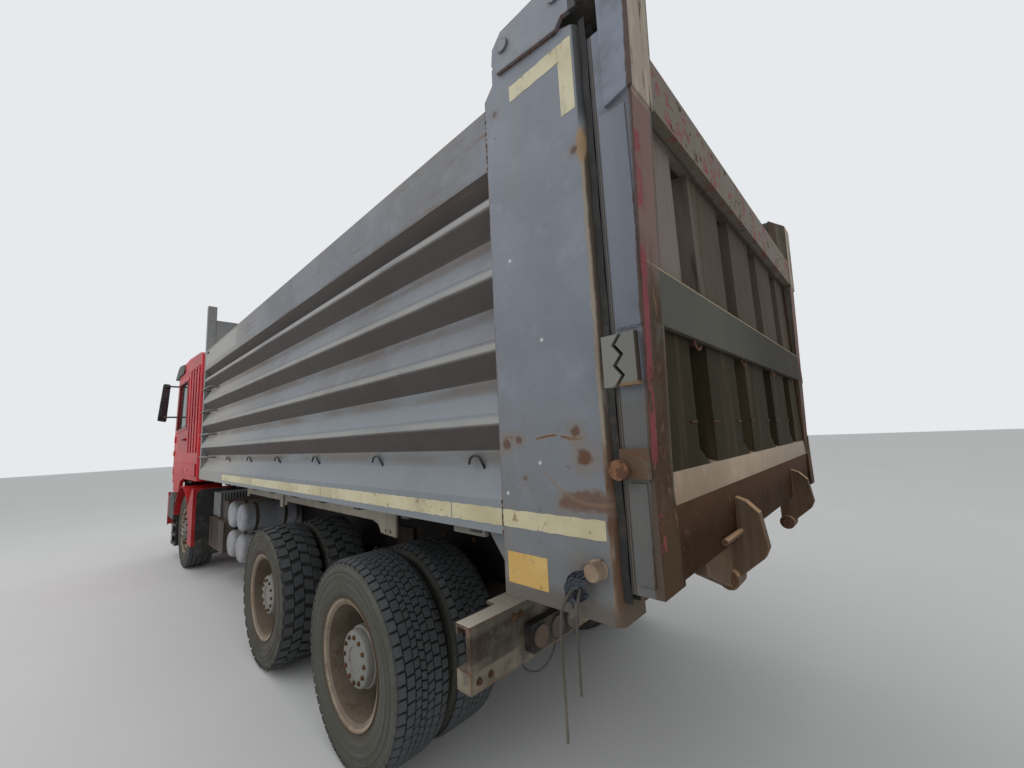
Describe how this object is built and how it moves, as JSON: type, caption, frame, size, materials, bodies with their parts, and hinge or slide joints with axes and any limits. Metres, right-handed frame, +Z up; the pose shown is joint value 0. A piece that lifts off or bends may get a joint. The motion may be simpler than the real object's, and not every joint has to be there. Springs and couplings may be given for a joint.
{
  "type": "tipper dump truck",
  "caption": "Three-axle cab-over tipper truck with a corrugated steel bed on a telescopic hoist, a top-hung tailgate, steered front wheels, twin rear wheels, opening doors",
  "frame": {"origin": "on the ground at the centre of the truck's plan box", "axes": "+X to the vehicle's left, +Y to its rear, +Z up"},
  "size_m": [2.8672, 8.458, 3.4299],
  "materials": {
    "frame_steel": "dusty dark paint",
    "axle_steel": "grimy casting",
    "engine_iron": "oily casting",
    "tank_paint": "blue-grey paint",
    "brown_paint": "dark brown paint with dust",
    "fuel_aluminium": "dull aluminium",
    "underrun_paint": "grey-brown paint",
    "lamp_red": "red lens",
    "lamp_clear": "clear lens",
    "bumper_red": "red paint",
    "guard_black": "black plastic",
    "cab_red": "red paint",
    "window_glass": "tinted glass",
    "seat_cloth": "dark seat cloth",
    "trim_plastic": "dark trim",
    "body_grey": "grey paint with dust and rust",
    "gate_grey": "worn dark grey paint with rust",
    "hoist_steel": "ground steel",
    "tyre_rubber": "dusty rubber",
    "flap_rubber": "black rubber with mud",
    "rim_paint": "tan paint with rust"
  },
  "bodies": {
    "chassis": {"chassis_frame": "frame_steel", "front_axle": "axle_steel", "front_springs": "axle_steel", "rear_axles": "axle_steel", "bogie_springs": "axle_steel", "engine_block": "engine_iron", "drive_shafts": "axle_steel", "air_tanks": "tank_paint", "side_tank_left": "brown_paint", "fuel_tank": "fuel_aluminium", "rear_underrun": "underrun_paint", "rear_lamps": "lamp_red", "front_bumper": "bumper_red", "headlamps": "lamp_clear", "front_mudguards": "bumper_red", "mud_flaps": "flap_rubber", "entry_steps": "guard_black"},
    "cab": {"cab_shell": "cab_red", "cab_glass": "window_glass", "cab_seats": "seat_cloth", "dashboard": "trim_plastic", "steering_wheel": "trim_plastic", "mirrors": "guard_black", "sun_visor": "guard_black"},
    "bed": {"bed_floor": "body_grey", "bed_side_left": "body_grey", "bed_side_right": "body_grey", "bed_headboard": "body_grey", "bed_posts": "body_grey", "side_plates": "body_grey"},
    "tailgate": {"tailgate_frame": "gate_grey", "tailgate_claws": "gate_grey"},
    "tie_rod": {"tie_rod": "axle_steel"},
    "hoist_barrel": {"hoist_barrel": "frame_steel"},
    "hoist_stage_1": {"hoist_stage_1": "hoist_steel"},
    "hoist_stage_2": {"hoist_stage_2": "hoist_steel"},
    "hoist_stage_3": {"hoist_stage_3": "hoist_steel"},
    "hoist_rod": {"hoist_rod": "hoist_steel"},
    "door_left": {"door_left": "cab_red", "door_glass_left": "window_glass"},
    "knuckle_left": {"knuckle_left": "axle_steel"},
    "wheel_front_left": {"tyre_front_left": "tyre_rubber", "wheel_front_left": "rim_paint"},
    "wheel_mid_left": {"tyre_mid_left": "tyre_rubber", "wheel_mid_left": "rim_paint"},
    "wheel_rear_left": {"tyre_rear_left": "tyre_rubber", "wheel_rear_left": "rim_paint"},
    "door_right": {"door_right": "cab_red", "door_glass_right": "window_glass"},
    "knuckle_right": {"knuckle_right": "axle_steel"},
    "wheel_front_right": {"tyre_front_right": "tyre_rubber", "wheel_front_right": "rim_paint"},
    "wheel_mid_right": {"tyre_mid_right": "tyre_rubber", "wheel_mid_right": "rim_paint"},
    "wheel_rear_right": {"tyre_rear_right": "tyre_rubber", "wheel_rear_right": "rim_paint"}
  },
  "joints": [
    {"name": "cab_tilt", "type": "hinge", "parent": "chassis", "child": "cab", "pos_m": [0, -3.99, 1.05], "axis": [1, 0, 0], "range_deg": [0, 50]},
    {"name": "bed_tilt", "type": "hinge", "parent": "chassis", "child": "bed", "pos_m": [0, 3.27, 1.1], "axis": [-1, 0, 0], "range_deg": [0, 46]},
    {"name": "tailgate_swing", "type": "hinge", "parent": "bed", "child": "tailgate", "pos_m": [0, 3.967, 3.026], "axis": [1, 0, 0], "range_deg": [0, 50]},
    {"name": "door_swing_left", "type": "hinge", "parent": "cab", "child": "door_left", "pos_m": [1.204, -3.9435, 1.5], "axis": [0, 0, -1], "range_deg": [0, 70]},
    {"name": "steer_left", "type": "hinge", "parent": "chassis", "child": "knuckle_left", "pos_m": [0.87, -2.95, 0.5], "axis": [0, 0, 1], "range_deg": [-35, 35]},
    {"name": "roll_front_left", "type": "hinge", "parent": "knuckle_left", "child": "wheel_front_left", "pos_m": [1.03, -2.95, 0.5], "axis": [1, 0, 0], "continuous": true},
    {"name": "roll_mid_left", "type": "hinge", "parent": "chassis", "child": "wheel_mid_left", "pos_m": [0.9325, 0.97, 0.5], "axis": [1, 0, 0], "continuous": true},
    {"name": "roll_rear_left", "type": "hinge", "parent": "chassis", "child": "wheel_rear_left", "pos_m": [0.9325, 2.42, 0.5], "axis": [1, 0, 0], "continuous": true},
    {"name": "door_swing_right", "type": "hinge", "parent": "cab", "child": "door_right", "pos_m": [-1.204, -3.9435, 1.5], "axis": [0, 0, 1], "range_deg": [0, 70]},
    {"name": "steer_right", "type": "hinge", "parent": "chassis", "child": "knuckle_right", "pos_m": [-0.87, -2.95, 0.5], "axis": [0, 0, 1], "range_deg": [-35, 35]},
    {"name": "roll_front_right", "type": "hinge", "parent": "knuckle_right", "child": "wheel_front_right", "pos_m": [-1.03, -2.95, 0.5], "axis": [1, 0, 0], "continuous": true},
    {"name": "roll_mid_right", "type": "hinge", "parent": "chassis", "child": "wheel_mid_right", "pos_m": [-0.9325, 0.97, 0.5], "axis": [1, 0, 0], "continuous": true},
    {"name": "roll_rear_right", "type": "hinge", "parent": "chassis", "child": "wheel_rear_right", "pos_m": [-0.9325, 2.42, 0.5], "axis": [1, 0, 0], "continuous": true},
    {"name": "tie_rod_pivot", "type": "hinge", "parent": "knuckle_left", "child": "tie_rod", "pos_m": [0.87, -2.75, 0.39], "axis": [0, 0, 1], "range_deg": [-35, 35]},
    {"name": "hoist_lean", "type": "hinge", "parent": "chassis", "child": "hoist_barrel", "pos_m": [0, -1.88, 0.83], "axis": [-1, 0, 0], "range_deg": [0, 26.22]},
    {"name": "hoist_stage_1_slide", "type": "slide", "parent": "hoist_barrel", "child": "hoist_stage_1", "axis": [0, 0, 1], "range_m": [0, 0.9826]},
    {"name": "hoist_stage_2_slide", "type": "slide", "parent": "hoist_stage_1", "child": "hoist_stage_2", "axis": [0, 0, 1], "range_m": [0, 0.9826]},
    {"name": "hoist_stage_3_slide", "type": "slide", "parent": "hoist_stage_2", "child": "hoist_stage_3", "axis": [0, 0, 1], "range_m": [0, 0.9826]},
    {"name": "hoist_rod_slide", "type": "slide", "parent": "hoist_stage_3", "child": "hoist_rod", "axis": [0, 0, 1], "range_m": [0, 0.9826]}
  ],
  "couplings": [
    {"joint": "steer_right", "follows": "steer_left", "ratio": 1},
    {"joint": "tie_rod_pivot", "follows": "steer_left", "ratio": -1},
    {"joint": "hoist_lean", "follows": "bed_tilt", "ratio": 0.56996},
    {"joint": "hoist_stage_1_slide", "follows": "bed_tilt", "m_per_rad": 1.2239},
    {"joint": "hoist_stage_2_slide", "follows": "bed_tilt", "m_per_rad": 1.2239},
    {"joint": "hoist_stage_3_slide", "follows": "bed_tilt", "m_per_rad": 1.2239},
    {"joint": "hoist_rod_slide", "follows": "bed_tilt", "m_per_rad": 1.2239}
  ]
}
